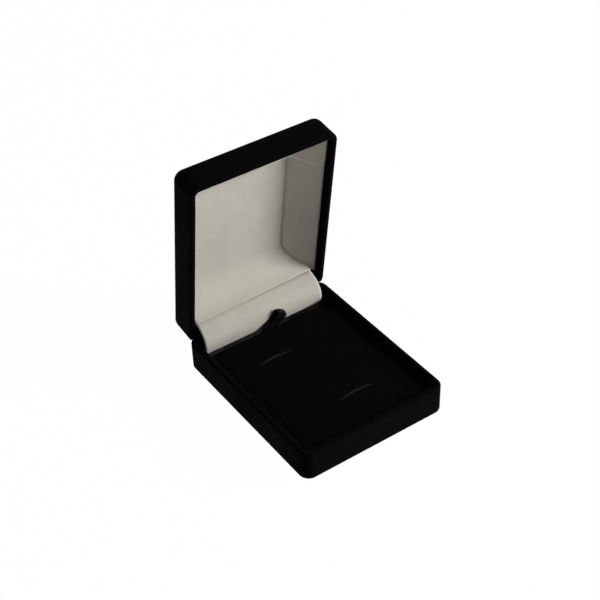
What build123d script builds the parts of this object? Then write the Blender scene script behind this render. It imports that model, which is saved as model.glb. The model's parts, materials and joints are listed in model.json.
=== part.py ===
from build123d import *
from math import atan2, cos, degrees, radians, sin, tan
import os

os.makedirs("parts", exist_ok=True)

# A hinged cufflink box, shown open. X runs along the hinge, Y from the front to the hinge,
# Z up, with the origin at the middle of the underside. Millimetres and degrees.

# The case, closed
case_width = 72.0
case_depth = 90.0
base_height = 14.5
lid_height = 15.0
rim_gap = 0.3  # between the two rims
corner_radius = 4.8  # upright corners
base_edge = 1.2  # round the underside
lid_edge = 3.8  # round the top of the lid
rim_edge = 1.1  # both sides of each rim
open_angle = 81.3  # from closed to the stop
stop_gap = 0.2  # between the bevelled back rims at the stop

# The walls: velvet, moulded shell, and the velvet turned in over the rim
velvet = 0.5
shell_wall = 2.0
shell_floor = 1.4
floor_bevel = 0.8  # inside the shell, round its floor
bevel_share = 0.72  # of the rounding that a hidden bevel lies inside
turn_in = 6.5  # velvet below the rim, inside
turn_under = 6.0  # velvet folded under the base
foot = 0.25  # bottom panel proud of the velvet
panel_gap = 0.3  # bottom panel inside the folded velvet
panel_corner = 1.5
liner_thickness = 0.4
liner_gap = 0.1

# The two spring hinges, which sit in pockets in the back wall
pin_radius = 0.65
pin_clearance = 0.05
pin_head_radius = 1.0
pin_head = 0.5
leaf_thickness = 0.6
leaf_drop = 7.2  # from the axis to the leaf's far edge
leaf_edge = 1.2  # rounded far corners
hinge_width = 16.0
hinge_spacing = 38.0
hinge_rise = 0.6  # axis above the base's rim
knuckle_width = 4.0  # each of the base leaf's two
knuckle_gap = 0.25
pocket_gap = 0.35
cam_reach = 1.6  # corner of the lid knuckle's two flats
cam_gap = 0.15  # between that corner and the spring
spring_thickness = 0.35
spring_tongue = 6.0
spring_margin = 1.0  # spring narrower than the leaf, each side
spring_above = 1.2  # tongue above the axis
spring_start = 2.6  # bend below the axis
spring_bend = 0.9  # height of the bend, and of the curled tip
spring_curl = 0.5
rivet_spacing = 10.0
rivet_drop = 4.9
rivet_radius = 0.75
rivet_clearance = 0.05
rivet_head_radius = 1.4
rivet_head = 0.6

# The flap that hides the hinges: cloth on card, curved round the hinge axis
cloth = 0.3
card = 0.35
flap_radius = 8.3
flap_side_gap = 2.5
flap_top_angle = 97.5
flap_cloth_angle = 240.0
flap_bend_angle = 255.0

# The lid's lining: a floor that coves down to the flap, and three sloped panels
lid_card_thickness = 0.4
lining_gap = 0.1  # to the walls
seam_gap = 0.05  # side panels to the cove
lip_gap = 0.25  # lining's lip outside the flap
lip_angle = 100.0  # lip's edge, lid open
crease_angle = 88.0  # where the cove meets the lip, lid open
cove_start = 26.0  # from the back of the lid to the flat floor
cove_card_trim = 8.0  # degrees of cove without card
left_width = 8.8  # the three sloped panels, in plan
right_width = 14.6
front_width = 14.6
slope_drop = 3.5  # from the rim to a panel's upper edge
gusset_depth = 17.0  # front panel's cloth over the side panels

# The pad: velvet over foam and a board, with two curved slits
pad_gap = 0.1  # pad above the floor liner
pad_side_gap = 0.4
pad_clearance = 0.3  # pad to the closed lid's lip
pad_corner = 1.4
pad_top = 11.2  # at its edges
pad_crown = 0.4
pad_edge = 1.1
board_thickness = 1.0
slit_length = 18.6
slit_bow = 1.6
slit_width = 0.8
slit_places = [(-11.0, 13.5), (6.0, -24.5)]

# The ribbon that lifts the pad, a doubled strip that leans to the right
ribbon_width = 4.6
ribbon_thickness = 0.25
ribbon_gap = 0.05
ribbon_x = 1.8
ribbon_lean = 33.0
ribbon_height = 4.6  # straight part above the pad
ribbon_free = 1.0  # where the front strand leaves the pad
ribbon_loop = 1.0
ribbon_low = 4.3

# Places that follow from these sizes
wall = 2 * velvet + shell_wall
bore_radius = pin_radius + pin_clearance
barrel_radius = bore_radius + leaf_thickness
inner_back = case_depth / 2 - wall
hinge_y = inner_back + bore_radius
hinge_z = base_height + hinge_rise
closed_height = base_height + rim_gap + lid_height
lid_axis = closed_height - hinge_z
hinge_places = [-hinge_spacing / 2, hinge_spacing / 2]
half_angle = open_angle / 2
shell_top = foot + velvet + shell_floor
liner_top = shell_top + liner_thickness
lip_radius = flap_radius + lip_gap + cloth
pad_low = liner_top + pad_gap
pad_rear = hinge_y - lip_radius - pad_clearance
pad_front = pad_side_gap - inner_back
pad_half_width = case_width / 2 - wall - pad_side_gap


# The case's outline, drawn in by an inset
def outline(inset):
    RectangleRounded(case_width - 2 * inset, case_depth - 2 * inset, corner_radius - inset)


# Half of the case, open side up, its back rim bevelled down and away from the hinge axis.
# Its edges are trimmed by a fillet or a chamfer.
def tray(inset, thickness, low, floor, rim, trim, edge, rim_trim, axis_z):
    slope = tan(radians(half_angle))
    bevel_y = hinge_y - inset
    bevel_z = axis_z + inset * slope - (stop_gap / 2 + inset) / cos(radians(half_angle))
    reach = case_depth / 2 - bevel_y + 1
    with BuildPart() as form:
        with BuildSketch(Plane.XY.offset(low)):
            outline(inset)
        extrude(amount=rim - low)
        trim(form.faces().sort_by(Axis.Z)[0].edges(), edge)
        with BuildSketch(Plane.XY.offset(rim)):
            outline(inset + thickness)
        extrude(amount=floor - rim, mode=Mode.SUBTRACT)
        trim(form.faces().sort_by(Axis.Z)[-1].edges(), rim_trim)
        with BuildSketch(Plane.YZ):
            with BuildLine():
                Polyline(
                    (bevel_y, bevel_z),
                    (bevel_y + reach, bevel_z - reach * slope),
                    (bevel_y + reach, rim + 1),
                    (bevel_y, rim + 1),
                    close=True,
                )
            make_face()
        extrude(amount=case_width / 2, both=True, mode=Mode.SUBTRACT)
    return form.part


# Room for the two hinge barrels, cut from the part being built
def cut_pockets(axis_z):
    for x in hinge_places:
        with BuildSketch(Plane.YZ.offset(x)) as pocket:
            with Locations((hinge_y, axis_z)):
                Circle(barrel_radius + pocket_gap)
        extrude(pocket.sketch, amount=hinge_width / 2 + 2 * pin_head, both=True, mode=Mode.SUBTRACT)


def rivet_places(axis_z):
    offsets = (-rivet_spacing / 2, rivet_spacing / 2)
    return [(x + offset, axis_z - rivet_drop) for x in hinge_places for offset in offsets]


# Rivet holes, cut forward from the inside of the outer velvet
def cut_rivet_holes(axis_z):
    with BuildSketch(Plane.XZ.offset(velvet - case_depth / 2)) as holes:
        with Locations(*rivet_places(axis_z)):
            Circle(rivet_radius + rivet_clearance)
    extrude(holes.sketch, amount=shell_wall + velvet + 2 * leaf_thickness, mode=Mode.SUBTRACT)


def shell_form(low, height, edge, axis_z):
    return tray(
        inset=velvet,
        thickness=shell_wall,
        low=low + velvet,
        floor=low + velvet + shell_floor,
        rim=height - velvet,
        trim=chamfer,
        edge=bevel_share * (edge - velvet),
        rim_trim=bevel_share * (rim_edge - velvet),
        axis_z=axis_z,
    )


# The moulded shell of one half
def make_shell(form, floor, axis_z):
    with BuildPart() as shell:
        add(form)
        floor_faces = shell.faces().filter_by_position(Axis.Z, floor - 0.01, floor + 0.01)
        chamfer(floor_faces.edges(), floor_bevel)
        cut_pockets(axis_z)
        cut_rivet_holes(axis_z)
    return shell


# The velvet round a shell, turned in over its rim and, on the base, folded under it
def make_velvet(form, low, height, edge, axis_z, window=0):
    outer = tray(0, wall, low, height - turn_in, height, fillet, edge, rim_edge, axis_z)
    with BuildPart() as wrap:
        add(outer)
        add(form, mode=Mode.SUBTRACT)
        with BuildSketch(Plane.XY.offset(height - turn_in)):
            outline(velvet + shell_wall)
        extrude(amount=low + velvet + shell_floor - height + turn_in, mode=Mode.SUBTRACT)
        if window:
            with BuildSketch(Plane.XY.offset(low)):
                RectangleRounded(case_width - 2 * window, case_depth - 2 * window, panel_corner)
            extrude(amount=velvet, mode=Mode.SUBTRACT)
        cut_pockets(axis_z)
        cut_rivet_holes(axis_z)
    return wrap


base_form = shell_form(foot, base_height, base_edge, hinge_z)
base_shell = make_shell(base_form, shell_top, hinge_z)
base_velvet = make_velvet(base_form, foot, base_height, base_edge, hinge_z, window=turn_under)

lid_form = shell_form(0, lid_height, lid_edge, lid_axis)
lid_shell = make_shell(lid_form, velvet + shell_floor, lid_axis)
lid_velvet = make_velvet(lid_form, 0, lid_height, lid_edge, lid_axis)

# The base: a panel underneath and a liner inside
with BuildPart() as base_bottom_panel:
    inset = turn_under + panel_gap
    with BuildSketch():
        RectangleRounded(case_width - 2 * inset, case_depth - 2 * inset, panel_corner - panel_gap)
    extrude(amount=foot + velvet)
    chamfer(base_bottom_panel.faces().sort_by(Axis.Z)[0].edges(), foot)

with BuildPart() as base_floor_liner:
    with BuildSketch(Plane.XY.offset(shell_top)):
        outline(velvet + shell_wall + floor_bevel + liner_gap)
    extrude(amount=liner_thickness)


# A hinge leaf: rolled round the pin at its edge, flat on the back wall below. The base's has
# two knuckles. The lid's has one between them, with two flats that the spring snaps over.
def make_leaf(x, axis_z, is_lid):
    between = hinge_width - 2 * knuckle_width
    with BuildPart() as leaf:
        with BuildSketch(Plane.YZ.offset(x)):
            if is_lid:
                turn = radians(180 - open_angle)
                corner = barrel_radius / cos(radians(half_angle))
                corner_turn = radians(180 - half_angle)
                with BuildLine():
                    Polyline(
                        (hinge_y, axis_z),
                        (hinge_y - barrel_radius, axis_z),
                        (hinge_y + corner * cos(corner_turn), axis_z + corner * sin(corner_turn)),
                        (hinge_y + barrel_radius * cos(turn), axis_z + barrel_radius * sin(turn)),
                        close=True,
                    )
                make_face()
                with Locations((hinge_y, axis_z)):
                    Circle(cam_reach, mode=Mode.INTERSECT)
            with Locations((hinge_y, axis_z)):
                Circle(barrel_radius)
            with Locations((hinge_y - barrel_radius, axis_z)):
                Rectangle(leaf_thickness, leaf_drop, align=(Align.MIN, Align.MAX))
            with Locations((hinge_y, axis_z)):
                Circle(bore_radius, mode=Mode.SUBTRACT)
        extrude(amount=hinge_width / 2, both=True)
        fillet(leaf.edges().filter_by(Axis.Y).group_by(Axis.Z)[0], leaf_edge)
        other_reach = barrel_radius if is_lid else cam_reach
        with BuildSketch(Plane.XZ.offset(-case_depth / 2)):
            with Locations((x, axis_z - other_reach - pocket_gap)):
                if is_lid:
                    Rectangle(2 * hinge_width, leaf_drop, align=(Align.CENTER, Align.MIN))
                    Rectangle(
                        between - 2 * knuckle_gap,
                        leaf_drop,
                        align=(Align.CENTER, Align.MIN),
                        mode=Mode.SUBTRACT,
                    )
                else:
                    Rectangle(between, leaf_drop, align=(Align.CENTER, Align.MIN))
        extrude(amount=case_depth, mode=Mode.SUBTRACT)
        cut_rivet_holes(axis_z)
    return leaf


def make_pin(x):
    with BuildPart() as pin:
        with BuildSketch(Plane.YZ.offset(x)):
            with Locations((hinge_y, hinge_z)):
                Circle(pin_radius)
        extrude(amount=hinge_width / 2, both=True)
        for side in (-1, 1):
            with BuildSketch(Plane.YZ.offset(x + side * hinge_width / 2)):
                with Locations((hinge_y, hinge_z)):
                    Circle(pin_head_radius)
            extrude(amount=side * pin_head)
        ends = pin.edges().group_by(Axis.X)
        chamfer(ends[0] + ends[-1], pin_head / 2)
    return pin


# The snap spring: a plate under the base leaf's rivets, whose tongue bears on the lid's knuckle
def make_spring(x):
    tongue_y = hinge_y - cam_reach - cam_gap
    leaf_y = hinge_y - barrel_radius
    with BuildPart() as spring:
        with BuildSketch(Plane.YZ.offset(x)):
            with BuildLine() as profile:
                FilletPolyline(
                    (leaf_y, hinge_z - leaf_drop + spring_curl),
                    (leaf_y, hinge_z - spring_start),
                    (tongue_y, hinge_z - spring_start + spring_bend),
                    (tongue_y, hinge_z + spring_above),
                    (tongue_y - spring_curl, hinge_z + spring_above + spring_bend),
                    radius=2 * spring_thickness,
                )
                offset(profile.line, amount=spring_thickness, side=Side.LEFT)
            make_face()
        extrude(amount=hinge_width / 2 - spring_margin, both=True)
        with BuildSketch(Plane.XZ):
            with Locations((x, hinge_z - spring_start - spring_bend / 2)):
                Rectangle(hinge_width, leaf_drop, align=(Align.CENTER, Align.MIN))
                Rectangle(
                    spring_tongue, leaf_drop, align=(Align.CENTER, Align.MIN), mode=Mode.SUBTRACT
                )
        extrude(amount=-case_depth / 2, mode=Mode.SUBTRACT)
        cut_rivet_holes(hinge_z)
    return spring


# Rivets from the shell's outside to a bevelled head on the face at head_y
def make_rivets(axis_z, head_y):
    shank = case_depth / 2 - velvet - rivet_clearance
    with BuildPart() as rivets:
        with BuildSketch(Plane.XZ.offset(-shank)):
            with Locations(*rivet_places(axis_z)):
                Circle(rivet_radius)
        extrude(amount=shank - head_y)
        with BuildSketch(Plane.XZ.offset(-head_y)):
            with Locations(*rivet_places(axis_z)):
                Circle(rivet_head_radius)
        extrude(amount=rivet_head)
        chamfer(rivets.edges().group_by(Axis.Y)[0], rivet_head / 2)
    return rivets


leaf_face = hinge_y - barrel_radius
left, right = hinge_places
hinge_leaf_base_left = make_leaf(left, hinge_z, is_lid=False)
hinge_leaf_base_right = make_leaf(right, hinge_z, is_lid=False)
hinge_leaf_lid_left = make_leaf(left, lid_axis, is_lid=True)
hinge_leaf_lid_right = make_leaf(right, lid_axis, is_lid=True)
hinge_pin_left = make_pin(left)
hinge_pin_right = make_pin(right)
hinge_spring_left = make_spring(left)
hinge_spring_right = make_spring(right)
base_rivets = make_rivets(hinge_z, leaf_face - spring_thickness)
lid_rivets = make_rivets(lid_axis, leaf_face)

# The flap over the hinges: card that curves round the hinge axis and is glued to the back wall,
# with cloth on its outside down to behind the pad
flap_half_width = case_width / 2 - wall - flap_side_gap

with BuildPart() as flap_card:
    with BuildSketch(Plane.YZ):
        with BuildLine() as profile:
            curve = CenterArc(
                (hinge_y, hinge_z), flap_radius - cloth, flap_top_angle, flap_bend_angle - flap_top_angle
            )
            end = curve @ 1
            heading = curve % 1
            tab_y = inner_back + velvet - card
            tab_z = end.Y + (tab_y - end.X) * heading.Y / heading.X
            Polyline(end, (tab_y, tab_z), (tab_y, shell_top + floor_bevel))
            offset(profile.line, amount=card, side=Side.LEFT)
        make_face()
    extrude(amount=flap_half_width, both=True)

with BuildPart() as flap_lining:
    with BuildSketch(Plane.YZ):
        with BuildLine() as profile:
            CenterArc(
                (hinge_y, hinge_z), flap_radius, flap_top_angle, flap_cloth_angle - flap_top_angle
            )
            offset(profile.line, amount=cloth, side=Side.LEFT)
        make_face()
    extrude(amount=flap_half_width, both=True)

# The lid's lining. Its floor coves down to a crease, then a short lip follows the flap.
lining_z = velvet + shell_floor + lid_card_thickness + cloth
floor_inset = velvet + shell_wall + floor_bevel + lining_gap
floor_front = floor_inset - case_depth / 2
cove_y = case_depth / 2 - cove_start
crease_turn = radians(crease_angle + open_angle)
crease_y = hinge_y + lip_radius * cos(crease_turn)
crease_z = lid_axis - lip_radius * sin(crease_turn)
cove_rise = crease_z - lining_z
cove_radius = ((crease_y - cove_y) ** 2 + cove_rise**2) / (2 * cove_rise)
cove_z = lining_z + cove_radius
cove_sweep = 90 + degrees(atan2(crease_z - cove_z, crease_y - cove_y))


# Keeps what lies within the walls, drawn in by an inset
def keep_inside(inset):
    with BuildSketch() as inside:
        outline(inset)
    extrude(inside.sketch, amount=lid_height, mode=Mode.INTERSECT)


with BuildPart() as lid_card:
    with BuildSketch(Plane.YZ):
        with BuildLine() as profile:
            Line((floor_front, lining_z - cloth), (cove_y, lining_z - cloth))
            CenterArc((cove_y, cove_z), cove_radius + cloth, -90, cove_sweep - cove_card_trim)
            offset(profile.line, amount=lid_card_thickness, side=Side.RIGHT)
        make_face()
    extrude(amount=case_width / 2, both=True)
    keep_inside(floor_inset)

with BuildPart() as lid_lining:
    with BuildSketch(Plane.YZ):
        with BuildLine() as profile:
            Line((floor_front, lining_z), (cove_y, lining_z))
            CenterArc((cove_y, cove_z), cove_radius, -90, cove_sweep)
            CenterArc(
                (hinge_y, lid_axis), lip_radius, -crease_angle - open_angle, crease_angle - lip_angle
            )
            offset(profile.line, amount=cloth, side=Side.RIGHT)
        make_face()
    extrude(amount=case_width / 2, both=True)
    keep_inside(floor_inset)

# The sloped panels lie on the sides of one hipped space, which meet at mitres in the corners
panel_high = lid_height - slope_drop
inner_side = case_width / 2 - wall
gusset_y = gusset_depth - case_depth / 2


# That space, grown by a distance square to its slopes
def hipped(growth):
    left_growth, right_growth, front_growth = (
        growth / sin(atan2(panel_high - lining_z, width))
        for width in (left_width, right_width, front_width)
    )
    with BuildPart() as space:
        for inward, z in ((1, lining_z), (0, panel_high)):
            low_x = inward * left_width - inner_side - left_growth
            high_x = inner_side - inward * right_width + right_growth
            low_y = inward * front_width - inner_back - front_growth
            with BuildSketch(Plane.XY.offset(z)):
                with Locations((low_x, low_y)):
                    Rectangle(
                        high_x - low_x, case_depth / 2 - low_y, align=(Align.MIN, Align.MIN)
                    )
        loft(ruled=True)
    return space.part


# A point on the mitre of the front panel with a side panel, seen from above
def on_mitre(side, x):
    width = left_width if side < 0 else right_width
    return (side * x, (inner_side - x) * front_width / width - inner_back)


# Where that mitre passes the edge of the front panel's cloth
def mitre_at_gusset(side):
    width = left_width if side < 0 else right_width
    return (side * (inner_side - (gusset_y + inner_back) * width / front_width), gusset_y)


# One layer of the panels, from one growth to a larger one, cut to a region seen from above
def make_panel(inner, outer, region):
    with BuildPart() as panel:
        add(hipped(outer))
        add(hipped(inner), mode=Mode.SUBTRACT)
        with BuildSketch(Plane.YZ):
            with Locations((cove_y, cove_z)):
                Circle(cove_radius - seam_gap)
            with Locations((cove_y, lining_z)):
                Rectangle(case_depth, lid_height, align=(Align.MAX, Align.MIN))
        extrude(amount=case_width / 2, both=True, mode=Mode.INTERSECT)
        with BuildSketch():
            with BuildLine():
                Polyline(*region, close=True)
            make_face()
        extrude(amount=lid_height, mode=Mode.INTERSECT)
        keep_inside(wall + lining_gap)
    return panel


far = case_depth
side_panels = []
for side in (-1, 1):
    region = [on_mitre(side, 0), on_mitre(side, far), (side * far, far), (0, far)]
    side_panels.append(make_panel(cloth, cloth + card, region))
    side_panels.append(make_panel(0, cloth, region))
lid_side_card_left, lid_side_lining_left, lid_side_card_right, lid_side_lining_right = side_panels

front_region = [on_mitre(-1, 0), on_mitre(-1, far), on_mitre(1, far), on_mitre(1, 0)]
gusset_region = [
    on_mitre(-1, 0),
    mitre_at_gusset(-1),
    (-far, gusset_y),
    (-far, -far),
    (far, -far),
    (far, gusset_y),
    mitre_at_gusset(1),
    on_mitre(1, 0),
]
lid_front_card = make_panel(0, card, front_region)
lid_front_lining = make_panel(-cloth, 0, gusset_region)


# The pad: a block with its corners rounded, its top edges trimmed by a fillet or a chamfer,
# and a crown from side to side
def pad_form(inset, low, trim, edge):
    half = pad_half_width
    high = pad_top + pad_crown - inset
    with BuildPart() as form:
        with BuildSketch(Plane.XY.offset(low)):
            with Locations((0, (pad_front + pad_rear) / 2)):
                RectangleRounded(2 * (half - inset), pad_rear - pad_front - 2 * inset, pad_corner - inset)
        extrude(amount=high - low)
        with BuildSketch(Plane.XZ):
            with BuildLine():
                crown = ThreePointArc((-half, pad_top - inset), (0, high), (half, pad_top - inset))
                Polyline(crown @ 1, (half, high + 1), (-half, high + 1), crown @ 0)
            make_face()
        extrude(amount=case_depth / 2, both=True, mode=Mode.SUBTRACT)
        trim(form.faces().sort_by(Axis.Z)[-1].edges(), edge)
    return form.part


with BuildLine() as slit:
    ThreePointArc((-slit_length / 2, 0), (0, slit_bow), (slit_length / 2, 0))


def cut_slits(low):
    with BuildSketch(Plane.XY.offset(low)) as slits:
        with Locations(*slit_places):
            SlotArc(slit.edge(), slit_width)
    extrude(slits.sketch, amount=pad_top, mode=Mode.SUBTRACT)


board_low = pad_low + velvet
foam_low = board_low + board_thickness
foam_bevel = bevel_share * (pad_edge - velvet)
pad_outside = pad_form(0, pad_low, fillet, pad_edge)
pad_inside = pad_form(velvet, board_low, chamfer, foam_bevel)
foam_outside = pad_form(velvet, foam_low, chamfer, foam_bevel)

with BuildPart() as pad_board:
    with BuildSketch(Plane.XY.offset(board_low)):
        with Locations((0, (pad_front + pad_rear) / 2)):
            RectangleRounded(
                2 * (pad_half_width - velvet), pad_rear - pad_front - 2 * velvet, pad_corner - velvet
            )
    extrude(amount=board_thickness)

with BuildPart() as pad_foam:
    add(foam_outside)
    cut_slits(foam_low)

with BuildPart() as pad_velvet:
    add(pad_outside)
    add(pad_inside, mode=Mode.SUBTRACT)
    with BuildSketch(Plane.XY.offset(pad_low)):
        with Locations((0, (pad_front + pad_rear) / 2)):
            Rectangle(2 * (pad_half_width - turn_under), pad_rear - pad_front - 2 * turn_under)
    extrude(amount=velvet, mode=Mode.SUBTRACT)
    cut_slits(foam_low)

# The ribbon: both ends glued to the pad's back, folded over at the top in a small loop
lean = radians(ribbon_lean)
with BuildPart() as pull_ribbon:
    ribbon_plane = Plane(origin=(ribbon_x, 0, pad_top), x_dir=(0, 1, 0), z_dir=(cos(lean), 0, -sin(lean)))
    with BuildSketch(ribbon_plane):
        with BuildLine() as profile:
            rear_y = pad_rear + 2 * ribbon_thickness + ribbon_gap
            low = (ribbon_low - pad_top) / cos(lean)
            rear = Line((rear_y, low), (rear_y, ribbon_height))
            top = CenterArc((rear_y - ribbon_loop, ribbon_height), ribbon_loop, 0, 180)
            middle = ((rear_y - 2 * ribbon_loop + pad_rear) / 2, (ribbon_height + ribbon_free) / 2)
            first = TangentArc(top @ 1, middle, tangent=top % 1)
            second = TangentArc(middle, (pad_rear, ribbon_free), tangent=first % 1)
            Line(second @ 1, (pad_rear, low))
            offset(profile.line, amount=ribbon_thickness, side=Side.LEFT)
        make_face()
    extrude(amount=ribbon_width / 2, both=True)

# The lid's pieces were drawn upside down: turned over onto the base and swung open
opened = Pos(0, hinge_y, hinge_z) * Rot(-open_angle, 0, 0) * Pos(0, -hinge_y, -hinge_z)
lid_pieces = {
    "lid_shell": lid_shell,
    "lid_velvet": lid_velvet,
    "lid_card": lid_card,
    "lid_lining": lid_lining,
    "lid_side_card_left": lid_side_card_left,
    "lid_side_card_right": lid_side_card_right,
    "lid_side_lining_left": lid_side_lining_left,
    "lid_side_lining_right": lid_side_lining_right,
    "lid_front_card": lid_front_card,
    "lid_front_lining": lid_front_lining,
    "hinge_leaf_lid_left": hinge_leaf_lid_left,
    "hinge_leaf_lid_right": hinge_leaf_lid_right,
    "lid_rivets": lid_rivets,
}
for piece in lid_pieces.values():
    piece.part = opened * mirror(piece.part, about=Plane.XY.offset(closed_height / 2))

base_pieces = {
    "base_shell": base_shell,
    "base_velvet": base_velvet,
    "base_bottom_panel": base_bottom_panel,
    "base_floor_liner": base_floor_liner,
    "hinge_leaf_base_left": hinge_leaf_base_left,
    "hinge_leaf_base_right": hinge_leaf_base_right,
    "hinge_pin_left": hinge_pin_left,
    "hinge_pin_right": hinge_pin_right,
    "hinge_spring_left": hinge_spring_left,
    "hinge_spring_right": hinge_spring_right,
    "base_rivets": base_rivets,
    "flap_card": flap_card,
    "flap_lining": flap_lining,
    "pad_board": pad_board,
    "pad_foam": pad_foam,
    "pad_velvet": pad_velvet,
    "pull_ribbon": pull_ribbon,
}
for name, piece in (base_pieces | lid_pieces).items():
    piece.part.label = name
    export_step(piece.part, f"parts/{name}.step")
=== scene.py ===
import json
from math import atan2, ceil, cos, hypot, pi, radians, sin, tan

import bpy
from mathutils import Matrix, Vector


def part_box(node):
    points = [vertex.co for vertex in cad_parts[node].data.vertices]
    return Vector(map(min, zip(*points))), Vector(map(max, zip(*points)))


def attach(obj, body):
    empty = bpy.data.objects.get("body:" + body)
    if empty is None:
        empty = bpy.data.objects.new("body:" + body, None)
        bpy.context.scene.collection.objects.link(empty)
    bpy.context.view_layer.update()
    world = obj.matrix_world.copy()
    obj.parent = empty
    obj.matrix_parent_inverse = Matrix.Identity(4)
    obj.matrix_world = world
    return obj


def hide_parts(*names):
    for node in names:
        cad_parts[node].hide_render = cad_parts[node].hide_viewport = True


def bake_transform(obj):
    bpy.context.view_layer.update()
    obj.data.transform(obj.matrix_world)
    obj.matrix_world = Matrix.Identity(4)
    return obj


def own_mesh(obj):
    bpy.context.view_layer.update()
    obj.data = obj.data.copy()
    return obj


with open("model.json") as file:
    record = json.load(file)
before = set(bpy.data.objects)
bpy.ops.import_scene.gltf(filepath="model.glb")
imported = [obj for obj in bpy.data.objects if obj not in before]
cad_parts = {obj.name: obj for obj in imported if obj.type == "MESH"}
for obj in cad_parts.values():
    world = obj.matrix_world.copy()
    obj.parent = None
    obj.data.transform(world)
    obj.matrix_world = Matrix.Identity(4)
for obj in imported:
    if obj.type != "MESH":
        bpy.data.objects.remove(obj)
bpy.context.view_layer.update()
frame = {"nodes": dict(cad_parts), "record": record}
mm = 0.001

# The box: X along the hinge, Y from the front to the hinge, Z up, lid open.
# A lid's point is written as it lies in the open tray of the lid: x, y, and its depth
# from the lid's outer face. toLid() takes it to where it is with the lid open.
hinge = next(joint for joint in frame["record"]["behaviour"]["joints"] if joint["name"] == "lid_hinge")
hingeY, hingeZ = hinge["pos_m"][1:]
openAngle = radians(hinge["range_deg"][1])


def turnedAboutHinge(point, angle):
    y, z = point[1] - hingeY, point[2] - hingeZ
    return Vector((point[0], hingeY + y * cos(angle) - z * sin(angle), hingeZ + y * sin(angle) + z * cos(angle)))


lidVertices = [turnedAboutHinge(v.co, openAngle) for v in frame["nodes"]["lid_velvet"].data.vertices]
closedTop = max(point.z for point in lidVertices)
lidHeight = closedTop - min(point.z for point in lidVertices)
baseLow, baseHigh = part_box("base_velvet")
padLow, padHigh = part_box("pad_velvet")
lidAxis = closedTop - hingeZ  # depth of the hinge axis in the lid's tray


def toLid(x, y, depth):
    return turnedAboutHinge((x, y, closedTop - depth), -openAngle)


def toBase(x, y, z):
    return Vector((x, y, z))


# Camera

view = {
    "azimuth": -33.75,
    "elevation": 39.02,
    "roll": -1.98,
    "distance": 0.58154,
    "right": -0.00607,  # of the origin
    "up": 0.03766,
    "lens": 80.1,
}


def addCamera():
    azimuth, elevation, roll = (radians(view[key]) for key in ("azimuth", "elevation", "roll"))
    back = Vector((sin(azimuth) * cos(elevation), -cos(azimuth) * cos(elevation), sin(elevation)))
    level = Vector((cos(azimuth), sin(azimuth), 0))
    upright = back.cross(level)
    right = level * cos(roll) + upright * sin(roll)
    up = upright * cos(roll) - level * sin(roll)
    camera = bpy.data.objects.new("camera", bpy.data.cameras.new("camera"))
    bpy.context.scene.collection.objects.link(camera)
    place = Matrix((right, up, back)).transposed().to_4x4()
    place.translation = back * view["distance"] + right * view["right"] + up * view["up"]
    camera.matrix_world = place
    camera.data.lens = view["lens"]
    camera.data.clip_start = 0.01
    bpy.context.scene.camera = camera


addCamera()
print("camera set")


# Shader maths: a wired socket that takes part in sums, and a material that makes nodes

class Wire:
    def __init__(self, finish, socket):
        self.finish = finish
        self.socket = socket

    def sum(self, operation, first, second):
        return self.finish.node("ShaderNodeMath", {"operation": operation}, {0: first, 1: second})

    def __add__(self, other):
        return self.sum("ADD", self, other)

    __radd__ = __add__

    def __sub__(self, other):
        return self.sum("SUBTRACT", self, other)

    def __rsub__(self, other):
        return self.sum("SUBTRACT", other, self)

    def __mul__(self, other):
        return self.sum("MULTIPLY", self, other)

    __rmul__ = __mul__

    def __pow__(self, other):
        return self.sum("POWER", self, other)


class Finish:
    def __init__(self, name):
        self.material = bpy.data.materials.new(name)
        self.material.use_nodes = True
        self.tree = self.material.node_tree
        self.tree.nodes.clear()

    def node(self, kind, settings=None, sockets=None, output=0):
        made = self.tree.nodes.new(kind)
        for key, value in (settings or {}).items():
            if key == "stops":
                for stop, (place, colour) in zip(made.color_ramp.elements, value):
                    stop.position = place
                    stop.color = (*colour, 1)
            else:
                setattr(made, key, value)
        for key, value in (sockets or {}).items():
            if isinstance(value, Wire):
                self.tree.links.new(value.socket, made.inputs[key])
            else:
                made.inputs[key].default_value = value
        return Wire(self, made.outputs[output]) if made.outputs else None

    def objectPlace(self):
        return self.node("ShaderNodeTexCoord", output="Object")

    def weavePlace(self):  # the piece's own UV map, in metres
        return self.node("ShaderNodeUVMap", {"uv_map": "UVMap"})

    def axis(self, place, name):
        return self.node("ShaderNodeSeparateXYZ", {}, {0: place}, output=name)

    def stretched(self, place, scale):
        return self.node("ShaderNodeMapping", {}, {"Vector": place, "Scale": scale})

    def noise(self, place, scale, detail=2.0, roughness=0.5):
        sockets = {"Vector": place, "Scale": scale, "Detail": detail, "Roughness": roughness}
        return self.node("ShaderNodeTexNoise", {}, sockets)

    def blendColour(self, factor, first, second):
        sockets = {"Factor": factor, 6: (*first, 1), 7: (*second, 1)}
        return self.node("ShaderNodeMix", {"data_type": "RGBA"}, sockets, output=2)

    def tint(self, factor, colour, second):
        sockets = {"Factor": factor, 6: colour, 7: (*second, 1)}
        return self.node("ShaderNodeMix", {"data_type": "RGBA"}, sockets, output=2)

    def wave(self, along, pitch):
        return self.node("ShaderNodeMath", {"operation": "SINE"}, {0: along * (2 * pi / pitch)})

    def bump(self, height, distance, strength=1.0, under=None):
        sockets = {"Height": height, "Distance": distance, "Strength": strength}
        if under:
            sockets["Normal"] = under
        return self.node("ShaderNodeBump", {}, sockets)

    def surface(self, sockets):
        shader = self.node("ShaderNodeBsdfPrincipled", {}, sockets)
        self.node("ShaderNodeOutputMaterial", {}, {"Surface": shader})
        return self.material


# Finishes

velvetLook = {
    "deep": (0.0004, 0.00036, 0.00038),
    "raised": (0.0038, 0.0035, 0.0036),
    "pile": 0.16 * mm,
    "nap": 14 * mm,
    "gloss": 0.02,
    "sheen": 0.005,
}


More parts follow.
